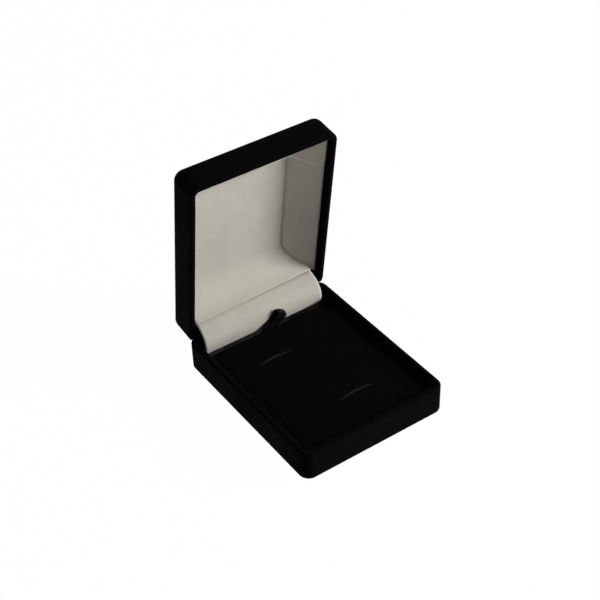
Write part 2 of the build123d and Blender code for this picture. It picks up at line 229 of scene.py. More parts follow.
def velvetFinish(name, lift=1.0):
    finish = Finish(name)
    place = finish.objectPlace()
    pile = finish.noise(place, 1 / velvetLook["pile"], 3, 0.6)
    nap = finish.noise(place, 1 / velvetLook["nap"], 3, 0.55)
    flecks = finish.noise(place, 0.35 / velvetLook["pile"], 2, 0.7)
    deep, raised = ([lift * part for part in velvetLook[key]] for key in ("deep", "raised"))
    shade = pile * 0.5 + nap * 0.35 + flecks * 0.15
    return finish.surface({
        "Base Color": finish.blendColour(shade, deep, raised),
        "Roughness": 0.82 + nap * 0.16,
        "Specular IOR Level": velvetLook["gloss"],
        "Sheen Weight": velvetLook["sheen"],
        "Sheen Roughness": 0.38,
        "Sheen Tint": (0.36, 0.36, 0.38, 1),
        "Normal": finish.bump(pile + flecks * 0.6, 0.05 * mm, 0.7, finish.bump(nap, 0.12 * mm, 0.5)),
    })


clothLook = {
    "light": (0.56, 0.54, 0.465),
    "shade": (0.44, 0.42, 0.36),
    # edge: a painted highlight along the cloth's cut edges, where they catch the light
    "edge": (0.74, 0.72, 0.65),
    "thread": 0.24 * mm,
    "cloud": 9 * mm,
}


def clothFinish():
    finish = Finish("lining_cloth")
    place = finish.weavePlace()
    across, along = finish.axis(place, "X"), finish.axis(place, "Y")
    warp, weft = finish.wave(across, clothLook["thread"]), finish.wave(along, clothLook["thread"])
    fibre = finish.noise(finish.stretched(place, (1, 3, 1)), 1 / (0.3 * mm), 3, 0.65)
    slub = finish.noise(finish.stretched(place, (1, 9, 1)), 1 / (2.4 * mm), 2, 0.5)
    cloud = finish.noise(finish.objectPlace(), 1 / clothLook["cloud"], 3, 0.5)
    weave = warp * weft
    shade = fibre * 0.5 + cloud * 0.3 + slub * 0.2 + weave * 0.04
    spread = finish.node("ShaderNodeMapRange", {}, {"Value": shade, "From Min": 0.3, "From Max": 0.7})
    colour = finish.blendColour(spread, clothLook["shade"], clothLook["light"])
    # the edge attribute mixes the painted highlight into the cloth's colour at its cut edges
    edge = finish.node("ShaderNodeAttribute", {"attribute_name": "edge"}, output="Fac")
    return finish.surface({
        "Base Color": finish.tint(edge, colour, clothLook["edge"]),
        "Roughness": 0.8 + fibre * 0.15,
        "Specular IOR Level": 0.25,
        "Sheen Weight": 0.18,
        "Sheen Roughness": 0.5,
        "Normal": finish.bump(fibre + weave * 0.25, 0.03 * mm, 0.7, finish.bump(slub, 0.03 * mm, 0.6)),
    })


def ribbonFinish():
    finish = Finish("satin_ribbon")
    place = finish.weavePlace()
    rib = finish.wave(finish.axis(place, "Y"), 0.22 * mm)
    # lengthwise streaks of painted sheen in the ribbon's colour, which also vary its roughness
    sheenStreaks = finish.noise(finish.stretched(place, (9, 1, 1)), 1 / (3 * mm), 3, 0.6)
    edge = finish.node("ShaderNodeAttribute", {"attribute_name": "edge"}, output="Fac")
    colour = finish.blendColour(sheenStreaks, (0.001, 0.001, 0.001), (0.0055, 0.0053, 0.005))
    return finish.surface({
        "Base Color": finish.tint(edge * 0.8, colour, (0.0008, 0.0008, 0.0008)),
        "Roughness": 0.5 + sheenStreaks * 0.2 + edge * 0.2,
        "Specular IOR Level": 0.07,
        "Normal": finish.bump(rib, 0.01 * mm, 0.5),
    })


def boardFinish(name, light, dark):
    finish = Finish(name)
    place = finish.objectPlace()
    fibre = finish.noise(finish.stretched(place, (1, 4, 4)), 1 / (1.2 * mm), 4, 0.7)
    fleck = finish.noise(place, 1 / (0.35 * mm), 2, 0.6)
    return finish.surface({
        "Base Color": finish.blendColour(fibre * 0.6 + fleck * 0.4, dark, light),
        "Roughness": 0.78 + fleck * 0.18,
        "Normal": finish.bump(fibre, 0.03 * mm, 0.6),
    })


def paperFinish():  # black embossed paper under the base
    finish = Finish("bottom_paper")
    place = finish.objectPlace()
    sockets = {"Vector": place, "Scale": 1 / (0.9 * mm), "Randomness": 0.9}
    grain = finish.node("ShaderNodeTexVoronoi", {"feature": "SMOOTH_F1"}, sockets)
    fibre = finish.noise(place, 1 / (0.4 * mm), 3, 0.6)
    return finish.surface({
        "Base Color": finish.blendColour(fibre, (0.006, 0.006, 0.006), (0.02, 0.02, 0.021)),
        "Roughness": 0.5 + fibre * 0.25,
        "Normal": finish.bump(grain, 0.06 * mm, 0.7, finish.bump(fibre, 0.02 * mm, 0.5)),
    })


def plasticFinish():
    finish = Finish("shell_plastic")
    spark = finish.noise(finish.objectPlace(), 1 / (0.5 * mm), 2, 0.5)
    return finish.surface({
        "Base Color": finish.blendColour(spark, (0.028, 0.028, 0.03), (0.042, 0.042, 0.044)),
        "Roughness": 0.42 + spark * 0.15,
        "Normal": finish.bump(spark, 0.02 * mm, 0.4),
    })


def metalFinish(name, light, dark, rough):
    finish = Finish(name)
    place = finish.objectPlace()
    brushed = finish.noise(finish.stretched(place, (1, 24, 24)), 1 / (2 * mm), 4, 0.6)
    tarnish = finish.noise(place, 1 / (3 * mm), 3, 0.6)
    return finish.surface({
        "Base Color": finish.blendColour(tarnish, dark, light),
        "Metallic": 1.0,
        "Roughness": rough + brushed * 0.2,
        "Normal": finish.bump(brushed, 0.01 * mm, 0.5),
    })


def foamFinish():
    finish = Finish("pad_foam")
    place = finish.objectPlace()
    cell = finish.node("ShaderNodeTexVoronoi", {}, {"Vector": place, "Scale": 1 / (0.5 * mm)})
    return finish.surface({
        "Base Color": finish.blendColour(cell, (0.09, 0.09, 0.095), (0.03, 0.03, 0.032)),
        "Roughness": 0.95,
        "Normal": finish.bump(cell, 0.15 * mm, 0.9),
    })


finishes = {
    "velvet": velvetFinish("black_velvet"),
    # the slits' lips: lighter velvet, partly the cut edge's paler colour and partly a painted highlight
    "cutEdgeAndHighlight": velvetFinish("cut_velvet_edge_and_highlight", lift=9.0),
    "cloth": clothFinish(),
    "ribbon": ribbonFinish(),
    "card": boardFinish("grey_board", (0.5, 0.47, 0.41), (0.36, 0.34, 0.3)),
    "paper": paperFinish(),
    "plastic": plasticFinish(),
    "steel": metalFinish("hinge_steel", (0.66, 0.63, 0.57), (0.5, 0.47, 0.42), 0.24),
    "spring": metalFinish("spring_steel", (0.5, 0.51, 0.53), (0.36, 0.37, 0.4), 0.3),
    "brass": metalFinish("rivet_brass", (0.75, 0.6, 0.33), (0.55, 0.42, 0.22), 0.3),
    "foam": foamFinish(),
}
nodeFinishes = {
    "shell": "plastic",
    "bottom_panel": "paper",
    "liner": "card",
    "card": "card",
    "leaf": "steel",
    "pin": "steel",
    "spring": "spring",
    "rivets": "brass",
    "board": "card",
    "foam": "foam",
    "velvet": "velvet",
    "lining": "cloth",
    "ribbon": "ribbon",
}


def finishNodes():
    for name, node in frame["nodes"].items():
        words = [word for word in nodeFinishes if word in name]
        chosen = finishes[nodeFinishes[words[0]]]
        for slot in node.material_slots:
            slot.material = chosen


finishNodes()
print("finishes made")


# Meshes from rows of points

def addPiece(name, points, faces, finish, smooth=True):
    mesh = bpy.data.meshes.new(name)
    mesh.from_pydata([tuple(point) for point in points], [], faces)
    mesh.materials.append(finishes[finish])
    for polygon in mesh.polygons:
        polygon.use_smooth = smooth
    mesh.update()
    piece = bpy.data.objects.new(name, mesh)
    bpy.context.scene.collection.objects.link(piece)
    return piece


def loopFaces(rows, columns, flip=False):  # closed both ways
    faces = []
    for row in range(rows):
        for column in range(columns):
            nextRow, nextColumn = (row + 1) % rows, (column + 1) % columns
            corners = [
                row * columns + column,
                row * columns + nextColumn,
                nextRow * columns + nextColumn,
                nextRow * columns + column,
            ]
            faces.append(corners[::-1] if flip else corners)
    return faces


def frozen(piece):  # the piece's modifiers made part of its mesh
    shown = piece.evaluated_get(bpy.context.evaluated_depsgraph_get())
    mesh = bpy.data.meshes.new_from_object(shown)
    piece.modifiers.clear()
    piece.data = mesh
    mesh.name = piece.name
    return piece


# A sheet of cloth from a grid of points, its UV map in metres. Its edge attribute is 1 along the ends of its rows:
# the lining cloth paints a highlight there, where its cut edges catch the light, and the ribbon is darker and
# rougher there.
def addSheet(name, grid, thickness, finish, flip=False, lightEnds=False, edgeWidth=0.35 * mm):
    rows, columns = len(grid), len(grid[0])
    faces = []
    for row in range(rows - 1):
        for column in range(columns - 1):
            first = row * columns + column
            corners = [first, first + 1, first + columns + 1, first + columns]
            faces.append(corners[::-1] if flip else corners)
    piece = addPiece(name, [point for row in grid for point in row], faces, finish)
    widths = [[0.0] for row in grid]
    for row, measured in zip(grid, widths):
        for first, second in zip(row, row[1:]):
            measured.append(measured[-1] + (second - first).length)
    lengths = [[0.0] * columns]
    for above, below in zip(grid, grid[1:]):
        lengths.append([done + (b - a).length for done, a, b in zip(lengths[-1], above, below)])
    layer = piece.data.uv_layers.new(name="UVMap")
    for loop in piece.data.loops:
        row, column = divmod(loop.vertex_index, columns)
        middle = widths[row][columns // 2]
        layer.data[loop.index].uv = (widths[row][column] - middle, lengths[row][column])
    edge = piece.data.attributes.new("edge", "FLOAT", "POINT")
    for row in range(rows):
        for column in range(columns if lightEnds else 0):
            away = min(widths[row][column], widths[row][-1] - widths[row][column])
            edge.data[row * columns + column].value = max(0.0, 1 - away / edgeWidth)
    solid = piece.modifiers.new("thickness", "SOLIDIFY")
    solid.thickness = thickness
    solid.offset = -1
    return frozen(piece)


# The velvet covers: a profile carried round the case's outline, and bevelled at the hinge

velvet = {
    "thickness": 0.5 * mm,
    "wall": 3.0 * mm,  # velvet, shell and velvet
    "corner": 4.8 * mm,
    "leastCorner": 0.4 * mm,
    "rim": 1.1 * mm,
    "turnIn": 6.5 * mm,
    "turnUnder": 6.0 * mm,
    "middle": 2.0 * mm,  # half the width of the flat face in the middle of the lid
    "baseEdge": 1.2 * mm,
    "lidEdge": 3.8 * mm,
    "stopGap": 0.2 * mm,
    "gather": 0.13 * mm,  # ripples of the velvet gathered round the inside corners
    "gathers": 5,
    "arcSteps": 7,
    "cornerSteps": 14,
    "sideStep": 2.2 * mm,
    "wallStep": 1.6 * mm,
    "pocketRadius": 1.68 * mm,
}
halfWidth, halfDepth = baseHigh.x, baseHigh.y


def outlineRing(inset):
    radius = max(velvet["corner"] - inset, velvet["leastCorner"])
    reachX, reachY = halfWidth - inset - radius, halfDepth - inset - radius
    steps = velvet["cornerSteps"]
    points, corner = [], []
    signs = [(1, 1), (-1, 1), (-1, -1), (1, -1)]
    arcs = [
        [
            (reachX * sx + radius * cos(turn), reachY * sy + radius * sin(turn))
            for turn in ((quarter + step / steps) * pi / 2 for step in range(steps + 1))
        ]
        for quarter, (sx, sy) in enumerate(signs)
    ]
    sideCounts = [ceil(2 * half / velvet["sideStep"]) for half in (halfWidth, halfDepth)]
    for quarter, arc in enumerate(arcs):
        points += arc
        corner += [step / steps for step in range(steps + 1)]
        start, end = arc[-1], arcs[(quarter + 1) % 4][0]
        count = sideCounts[quarter % 2]
        for step in range(1, count):
            share = step / count
            points.append(tuple(a + (b - a) * share for a, b in zip(start, end)))
            corner.append(None)
    return points, corner


def arcPoints(centre, radius, start, end, steps):
    turns = [start + (end - start) * step / steps for step in range(steps + 1)]
    return [(centre[0] + radius * cos(turn), centre[1] + radius * sin(turn)) for turn in turns]


def wallPoints(first, second):
    count = max(1, ceil(hypot(second[0] - first[0], second[1] - first[1]) / velvet["wallStep"]))
    return [
        tuple(a + (b - a) * step / count for a, b in zip(first, second)) for step in range(1, count)
    ]


# Half of the profile as (inset, height), from under the case to inside its rim, at a depth
# in the velvet: 0 is its outside
def coverSide(low, high, edge, depth, foldInset):
    rim, wall, steps = velvet["rim"], velvet["wall"], velvet["arcSteps"]
    inner = high - velvet["turnIn"]
    points = [(foldInset, low + depth)]
    under = arcPoints((edge, low + edge), edge - depth, -pi / 2, -pi, steps)
    points += wallPoints(points[0], under[0]) + under
    top = arcPoints((rim, high - rim), rim - depth, pi, pi / 2, steps)
    points += wallPoints(under[-1], top[0]) + top
    inside = arcPoints((wall - rim, high - rim), rim - depth, pi / 2, 0, steps)
    points += wallPoints(top[-1], inside[0]) + inside
    end = (wall - depth, inner)
    return points + wallPoints(inside[-1], end) + [end]


def addCover(name, place, low, high, edge, axis, foldInset, flip, capped):
    thickness = velvet["thickness"]
    outside = coverSide(low, high, edge, 0, foldInset)
    inside = coverSide(low, high, edge, thickness, foldInset)
    profile = [(*point, 0) for point in outside] + [(*point, thickness) for point in inside[::-1]]
    slope, lean = tan(openAngle / 2), cos(openAngle / 2)
    points = []
    for inset, height, depth in profile:
        ring, corner = outlineRing(inset)
        turned = max(0.0, inset - velvet["wall"] / 2) / (velvet["wall"] / 2)
        below = min(1.0, max(0.0, high - height) / (2 * velvet["rim"]))
        ripple = velvet["gather"] * min(1.0, turned) * below if inset <= velvet["wall"] else 0
        for (x, y), share in zip(ring, corner):
            if share is not None and ripple and depth == 0:
                fold = abs(sin(pi * share * velvet["gathers"])) * sin(pi * share)
                away = Vector((x, y)).normalized()
                x, y = x - away.x * ripple * fold, y - away.y * ripple * fold
            bevel = axis - (velvet["stopGap"] / 2 + depth) / lean - (y - hingeY) * slope
            points.append(place(x, y, min(height, bevel) if y > hingeY - depth else height))
    columns = len(outlineRing(0)[0])
    faces = loopFaces(len(profile), columns, flip)
    if capped:  # its middle is closed, outside and inside
        last = len(points) - columns
        caps = [list(range(columns))[::-1], list(range(last, len(points)))]
        faces = faces[:-columns] + [cap[::-1] if flip else cap for cap in caps]
    return addPiece(name, points, faces, "velvet")


# A closed bar along X, cut away from a piece
def cutBar(piece, centre, length, radius, sides=32):
    bpy.ops.mesh.primitive_cylinder_add(vertices=sides, radius=radius, depth=length)
    bar = bpy.context.object
    bar.matrix_world = Matrix.Translation(centre) @ Matrix.Rotation(pi / 2, 4, "Y")
    cut = piece.modifiers.new("cut", "BOOLEAN")
    cut.operation = "DIFFERENCE"
    cut.solver = "EXACT"
    cut.object = bar
    bpy.context.view_layer.update()
    frozen(piece)
    bpy.data.objects.remove(bar)


def addCovers():
    under = {"low": baseLow.z, "high": baseHigh.z, "edge": velvet["baseEdge"], "axis": hingeZ}
    under |= {"foldInset": velvet["turnUnder"], "flip": True, "capped": False}
    base = addCover("baseVelvet", toBase, **under)
    over = {"low": 0.0, "high": lidHeight, "edge": velvet["lidEdge"], "axis": lidAxis}
    over |= {"foldInset": halfWidth - velvet["middle"], "flip": False, "capped": True}
    lid = addCover("lidVelvet", toLid, **over)
    for side in ("left", "right"):
        low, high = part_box("hinge_pin_" + side)
        centre = Vector(((low.x + high.x) / 2, hingeY, hingeZ))
        for piece in (base, lid):
            cutBar(piece, centre, high.x - low.x, velvet["pocketRadius"])
    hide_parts("base_velvet")
    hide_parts("lid_velvet")
    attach(base, "base")
    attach(lid, "lid")
    return base, lid


baseVelvet, lidVelvet = addCovers()
print("velvet covers made")


# The lid's lining, in the lid's tray. The cloth is one floor that coves down to a crease.

lining = {
    "thickness": 0.3 * mm,
    "card": 0.35 * mm,
    "floor": 2.6 * mm,  # depth
    "widths": {-1: 6.6 * mm, 1: 13.6 * mm},  # of the side panels, in plan
    "frontWidth": 12.4 * mm,
    "panelHigh": 11.5 * mm,
    "coveStart": 19.0 * mm,
    "left": -32.7 * mm,
    "right": 28.8 * mm,
    "curl": 0.9 * mm,
    "curlDepth": 2.6 * mm,
    "frontEdge": -41.4 * mm,
    "creaseRight": (88.0, 8.9 * mm),  # angle about the hinge with the lid open, and radius
    "creaseLeft": (101.5, 8.75 * mm),
    "creaseRightX": 29.0 * mm,
    "creaseLeftX": -31.0 * mm,
    "tuck": 0.45 * mm,  # radius with which both cloths turn down into the crease
    "padding": {-1: 0.15 * mm, 1: 0.7 * mm},  # of the side panels
    "roundness": 1.7 * mm,  # how far in from its edges a padded panel is round
    "tailStart": 0.35,  # up the right panel's slope, where its end starts to pass the cove's
    "tail": 8.0 * mm,  # how fast it does
    "tailMost": 4.2 * mm,
    "gussetPeak": (0.68, -26.9 * mm),  # the tip of the front panel's cloth over a side panel
    "gussetSlope": 7.4 * mm,
    "gussetTip": 0.06,
    "gussetLift": 0.3 * mm,
    "hipRound": 1.3 * mm,
}
innerSide, innerFront = halfWidth - velvet["wall"], halfDepth - velvet["wall"]


def creaseAt(x):  # angle and radius
    share = (x - lining["creaseLeftX"]) / (lining["creaseRightX"] - lining["creaseLeftX"])
    share = min(1.05, max(-0.03, share))
    left, right = lining["creaseLeft"], lining["creaseRight"]
    return radians(left[0] + (right[0] - left[0]) * share), left[1] + (right[1] - left[1]) * share


def spread(low, high, count):
    return [low + (high - low) * step / count for step in range(count + 1)]


# Points (y, depth) from the front edge to the crease. The cove can be sunk by a distance,
# which takes effect over its first half.
def floorRow(x, sunk=0.0):
    angle, radius = creaseAt(x)
    endY = hingeY + radius * cos(angle + openAngle)
    endDepth = lidAxis - radius * sin(angle + openAngle)
    start, floor = lining["coveStart"], lining["floor"]
    rise, run = endDepth - floor, endY - start
    cove = (run ** 2 + rise ** 2) / (2 * rise)
    sweep = 2 * atan2(rise, run) - lining["tuck"] / cove
    row = [(y, floor) for y in spread(lining["frontEdge"], start, 40)]
    for turn in spread(0, sweep, 36)[1:]:
        reach = cove + sunk * min(1.0, 2 * turn / sweep)
        row.append((start + reach * sin(turn), floor + cove - reach * cos(turn)))
    return row


# The end of a cloth, rolled down into the crease by a quarter of a turn
def tucked(before, last):
    heading = (last - before).normalized()
    inward = Vector((1, 0, 0)).cross(heading)
    if inward.dot(Vector((last.x, hingeY, hingeZ)) - last) < 0:
        inward.negate()
    turns = spread(0, pi / 2, 6)[1:]
    return [last + lining["tuck"] * (heading * sin(t) + inward * (1 - cos(t))) for t in turns]


# The card under a cloth: its grid moved square to the sheet by the cloth's thickness
def addCard(name, node, grid, under, flip, body="lid"):
    last = len(grid) - 1, len(grid[0]) - 1
    moved = []
    for row, points in enumerate(grid):
        above, below = grid[max(row - 1, 0)], grid[min(row + 1, last[0])]
        line = []
        for column, point in enumerate(points):
            across = points[min(column + 1, last[1])] - points[max(column - 1, 0)]
            square = across.cross(below[column] - above[column]).normalized()
            line.append(point + square * (under if flip else -under))
        moved.append(line)
    piece = addSheet(name, moved, lining["card"], "card", flip=flip)
    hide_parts(node)
    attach(piece, body)
    return piece


def addFloorLining():
    sides = spread(lining["left"], lining["right"], 52)
    columns = [[toLid(x, y, depth) for y, depth in floorRow(x)] for x in sides]
    flat = [list(row) for row in zip(*columns)]
    addCard("lidCard", "lid_card", flat, lining["thickness"], flip=True)
    curl = lining["curl"]
    for turn in spread(0, pi / 2, 6)[1:]:  # the right edge turns down to the side panel
        x = lining["right"] + curl * sin(turn)
        columns.append([toLid(x, y, depth) for y, depth in floorRow(x, curl * (1 - cos(turn)))])
    columns.append([toLid(x, y, depth) for y, depth in floorRow(x, lining["curlDepth"])])
    columns = [column + tucked(*column[-2:]) for column in columns]
    grid = [list(row) for row in zip(*columns)]
    piece = addSheet("lidLining", grid, lining["thickness"], "cloth", flip=True)
    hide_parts("lid_lining")
    length = sum((a - b).length for a, b in zip(columns[26], columns[26][1:]))
    sides[-1] - sides[0]
    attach(piece, "lid")
    return piece


def panelDepth(share):  # 0 at the floor to 1 at the panels' upper edges
    return lining["floor"] + (lining["panelHigh"] - lining["floor"]) * share


def panelSlope(width):
    return atan2(lining["panelHigh"] - lining["floor"], width)


def panelCorner(share, side):  # x and y, where a side panel meets the front one
    x = side * (innerSide - (1 - share) * lining["widths"][side])
    return x, (1 - share) * lining["frontWidth"] - innerFront


def coveEnd(depth):  # y where the middle of the cove is this deep
    row = floorRow(0)
    for (y, before), (nextY, after) in zip(row[40:], row[41:]):
        if after >= depth:
            return y + (nextY - y) * (depth - before) / (after - before)
    return row[-1][0]


def closer(low, high, count):  # spread, but closer together towards high
    return [low + (high - low) * sin(step / count * pi / 2) for step in range(count + 1)]


def roundEdge(away, side):  # how far the padding has risen, this far from an edge
    left = 1 - min(1.0, max(0.0, away / lining["roundness"]))
    return (1 - left ** 2) ** 0.5 * lining["padding"][side]


def panelRise(share, side):
    slant = lining["widths"][side] / cos(panelSlope(lining["widths"][side]))
    return min(roundEdge(share * slant, side), roundEdge((1 - share) * slant, side))


def panelEnd(share, side):
    past = max(0.0, share - lining["tailStart"]) * lining["tail"]
    return coveEnd(panelDepth(share)) + min(past, lining["tailMost"]) * (side > 0)


def addSideLining(name, side):
    flat, grid = [], []
    slope = panelSlope(lining["widths"][side])
    for share in closer(0.995, 0, 44)[::-1]:
        x, low = panelCorner(share, side)
        end = panelEnd(share, side)
        rises = [
            (y, min(panelRise(share, side), roundEdge(end - y, side))) for y in closer(low, end, 70)
        ]
        depth = panelDepth(share)
        flat.append([toLid(x, y, depth) for y, rise in rises])
        grid.append([
            toLid(x - side * rise * sin(slope), y, depth + rise * cos(slope)) for y, rise in rises
        ])
    place = name[0].lower() + name[1:]
    lined = "lid_side_lining_" + place
    addCard("lidSideCard" + name, "lid_side_card_" + place, flat, lining["thickness"], side < 0)
    piece = addSheet("lidSideLining" + name, grid, lining["thickness"], "cloth", flip=side < 0)
    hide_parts(lined)
    area = sum(polygon.area for polygon in piece.data.polygons) / 2
    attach(piece, "lid")
    return piece


# Half a row of the front panel's cloth, from the edge of its triangle over a side panel,
# round the hip and to the middle
def frontHalfRow(share, side):
    corner, hip = panelCorner(share, side)
    peak, reach = lining["gussetPeak"]
    edge = reach - lining["gussetSlope"] * (hypot(share - peak, lining["gussetTip"]) - lining["gussetTip"])
    edge = max(edge, hip + 0.05 * mm)
    cut = min(lining["hipRound"], (edge - hip) * 0.9)
    sideSlope, frontSlope = panelSlope(lining["widths"][side]), panelSlope(lining["frontWidth"])
    lift = panelRise(share, side) + lining["thickness"]
    sideX, sideDepth = abs(corner) - lift * sin(sideSlope), panelDepth(share) + lift * cos(sideSlope)
    frontY = hip + lining["thickness"] * sin(frontSlope)
    frontDepth = panelDepth(share) + lining["thickness"] * cos(frontSlope)
    points = []
    for y in spread(edge, hip + cut, 14):
        raised = lining["gussetLift"] * max(0.0, 1 - (edge - y) / (1.5 * mm)) ** 2 * min(1, share * 4)
        raised *= min(1, (1 - share) * 8)
        points.append((sideX - raised * sin(sideSlope), y, sideDepth + raised * cos(sideSlope)))
    start = Vector((sideX, hip + cut, sideDepth))
    turn = Vector((sideX, frontY, (sideDepth + frontDepth) / 2))
    end = Vector((sideX - cut, frontY, frontDepth))
    for step in range(1, 8):
        bend = step / 8
        points.append((1 - bend) ** 2 * start + 2 * bend * (1 - bend) * turn + bend ** 2 * end)
    points += [(across, frontY, frontDepth) for across in spread(end.x, 0, 20)]
    return [toLid(side * x, y, depth) for x, y, depth in points]


def addFrontCard():
    grid = []
    for share in spread(0, 0.995, 24):
        left, right = panelCorner(share, -1), panelCorner(share, 1)
        grid.append([toLid(x, right[1], panelDepth(share)) for x in spread(left[0], right[0], 20)])
    return addCard("lidFrontCard", "lid_front_card", grid, 0.0, flip=True)


def addFrontLining():
    grid = [
        frontHalfRow(share, -1) + frontHalfRow(share, 1)[-2::-1] for share in spread(0, 0.995, 24)
    ]
    # its cut ends get the painted highlight
    piece = addSheet("lidFrontLining", grid, lining["thickness"], "cloth", flip=True, lightEnds=True)
    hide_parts("lid_front_lining")
    area = sum(polygon.area for polygon in piece.data.polygons) / 2
    widest = sum((a - b).length for a, b in zip(grid[-1], grid[-1][1:]))
    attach(piece, "lid")
    return piece


addFloorLining()
addSideLining("Left", -1)
addSideLining("Right", 1)
addFrontCard()
addFrontLining()
print("lid lining made")


# The flap over the hinges, from the crease round to behind the pad

flap = {
    "thickness": 0.25 * mm,
    "left": -32.7 * mm,
    "right": 28.8 * mm,
    "spread": 0.6 * mm,  # how much wider it ends at the right, behind the pad
    "radius": 8.32 * mm,
    "cardStart": 100.5,
    "cardBend": 255.0,
    "cardInset": 0.5 * mm,
    "endAngle": 238.0,
    "settle": 26.0,  # degrees over which the crease's radius comes down to the flap's
    "wave": 0.05 * mm,
    "blendStart": 205.0,
}


def flapPoint(x, share):
    crease, radius = creaseAt(x)
    crease += lining["tuck"] / radius
    angle = crease + (radians(flap["endAngle"]) - crease) * share
    settled = min(1.0, (angle - crease) / radians(flap["settle"]))
    settled = settled * settled * (3 - 2 * settled)
    ripple = flap["wave"] * sin(x / (5.3 * mm) + 2.1 * sin(angle)) * sin(pi * share)
    reach = radius + (flap["radius"] - radius) * settled + ripple
    wider = flap["spread"] * share * max(0.0, x / flap["right"])
    return Vector((x + wider, hingeY + reach * cos(angle), hingeZ + reach * sin(angle)))


# The flap's card keeps the section of its CAD node: an arc, then a tab on the back wall
def addFlapCard():
    low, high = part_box("flap_card")
    radius = flap["radius"] - flap["thickness"]
    turns = [radians(angle) for angle in spread(flap["cardStart"], flap["cardBend"], 48)]
    row = [(hingeY + radius * cos(turn), hingeZ + radius * sin(turn)) for turn in turns]
    tab = high.y - lining["card"]
    run = tab - row[-1][0]
    heading = turns[-1] + pi / 2
    row += [(tab, row[-1][1] + run * tan(heading)), (tab, low.z)]
    sides = spread(flap["left"] + flap["cardInset"], flap["right"] - flap["cardInset"], 20)
    grid = [[Vector((x, y, z)) for x in sides] for y, z in row]
    addCard("flapCard", "flap_card", grid, 0.0, flip=True, body="base")


def addFlap():
    sides = spread(flap["left"], flap["right"], 64)
    columns = [[flapPoint(x, share) for share in spread(0, 1, 48)] for x in sides]
    columns = [tucked(column[1], column[0])[::-1] + column for column in columns]
    grid = [list(row) for row in zip(*columns)]
    piece = addSheet("flapCloth", grid, flap["thickness"], "cloth", flip=True)
    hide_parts("flap_lining")
    length = sum((a - b).length for a, b in zip(columns[32], columns[32][1:]))
    sides[-1] - sides[0]
    angle = radians(flap["blendStart"])
    start = (0, hingeY + flap["radius"] * cos(angle), hingeZ + flap["radius"] * sin(angle))
    tuple(flapPoint(0.0, 0))
    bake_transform(piece)
    return piece


addFlapCard()
addFlap()
print("flap made")


# The pad's velvet: crowned over the foam, with two curved slits whose lips turn down

pad = {
    "crown": 0.4 * mm,
    "start": 0.35 * mm,  # smaller than the pad before it swells
    "edge": 1.3 * mm,
    "corner": 1.4 * mm,
    "roundEdge": 0.9 * mm,
    "voxel": 1.1 * mm,
    "heldHeight": 3.0 * mm,
    "pressure": 4.0,
    "frames": 20,
    "most": 0.55 * mm,
    "slitLength": 18.6 * mm,
    "slitBow": 1.4 * mm,
    "slits": [(-10.2 * mm, 13.5 * mm), (5.8 * mm, -24.5 * mm)],
    "slitWidth": 0.5 * mm,
    "slitTaper": 0.7,
    "slitDepth": 3.0 * mm,
    "lips": {1: (0.75 * mm, 0.2 * mm), -1: (0.4 * mm, 0.1 * mm)},  # width and rise, by side
}
padCentre = (padLow + padHigh) / 2
padHalf = (padHigh - padLow) / 2
padTop = padHigh.z - pad["crown"]


def padBlock():
    bpy.ops.mesh.primitive_cube_add(size=2)
    block = bpy.context.object
    block.name = block.data.name = "padVelvet"
    half = padHalf - Vector((pad["start"], pad["start"], pad["start"] / 2))
    for vertex in block.data.vertices:
        vertex.co = padCentre + Vector([a * b for a, b in zip(vertex.co, half)])
        vertex.co.z -= pad["start"] / 2
    block.location = (0, 0, 0)
    block.data.materials.append(finishes["velvet"])
    bevel = block.modifiers.new("edges", "BEVEL")
    bevel.width, bevel.segments = pad["edge"], 4
    remesh = block.modifiers.new("remesh", "REMESH")
    remesh.mode, remesh.voxel_size = "VOXEL", pad["voxel"]
    return frozen(block)


# The velvet swells over the foam by cloth simulation, held where it is turned under
def swell(piece):
    held = piece.vertex_groups.new(name="held")
    low = [v.index for v in piece.data.vertices if v.co.z < padLow.z + pad["heldHeight"]]
    held.add(low, 1.0, "REPLACE")
    before = [v.co.copy() for v in piece.data.vertices]
    cloth = piece.modifiers.new("cloth", "CLOTH")
    cloth.settings.vertex_group_mass = "held"
    cloth.settings.use_pressure = True
    cloth.settings.uniform_pressure_force = pad["pressure"]
    cloth.settings.effector_weights.gravity = 0
    for number in range(1, pad["frames"] + 1):
        bpy.context.scene.frame_set(number)
    shown = piece.evaluated_get(bpy.context.evaluated_depsgraph_get())
    after = [v.co.copy() for v in shown.data.vertices]
    piece.modifiers.clear()
    bpy.context.scene.frame_set(1)
    furthest = max((b - a).length for a, b in zip(before, after))
    print("pad swells by", round(furthest / mm, 2), "mm before the cap")
    for vertex, start, end in zip(piece.data.vertices, before, after):
        moved = end - start
        if moved.length > pad["most"]:
            moved = moved.normalized() * pad["most"]
        vertex.co = start + moved


# The velvet's points, moved out to the pad's shape where they lie inside it, so that the foam
# stays covered: walls with round corners, and a crowned top with a round edge
def coverFoam(piece):
    corner, edge = pad["corner"], pad["roundEdge"]
    for vertex in piece.data.vertices:
        away = vertex.co - padCentre
        over = [abs(away[i]) - padHalf[i] + corner for i in range(2)]
        outward = Vector([max(0.0, part) for part in over])
        beside = outward.length - corner
        if outward.length == 0:
            beside = max(over) - corner
            outward = Vector([float(part == max(over)) for part in over])
        outward.normalize()
        outward = Vector([part if side > 0 else -part for part, side in zip(outward, away)])
        lowered = pad["crown"] * (away.x / padHalf.x) ** 2 if away.z > 0 else 0.0
        above = abs(away.z) - padHalf.z + lowered
        near, high = beside + edge, above + edge
        if near > 0 and high > 0:
            inside = edge - hypot(near, high)
            aside, upward = near / hypot(near, high), high / hypot(near, high)
        else:
            inside, aside, upward = -max(beside, above), float(beside > above), float(beside <= above)
        if inside > 0:
            move = outward.to_3d() * aside
            move.z = upward if away.z > 0 else -upward
            vertex.co += move * inside


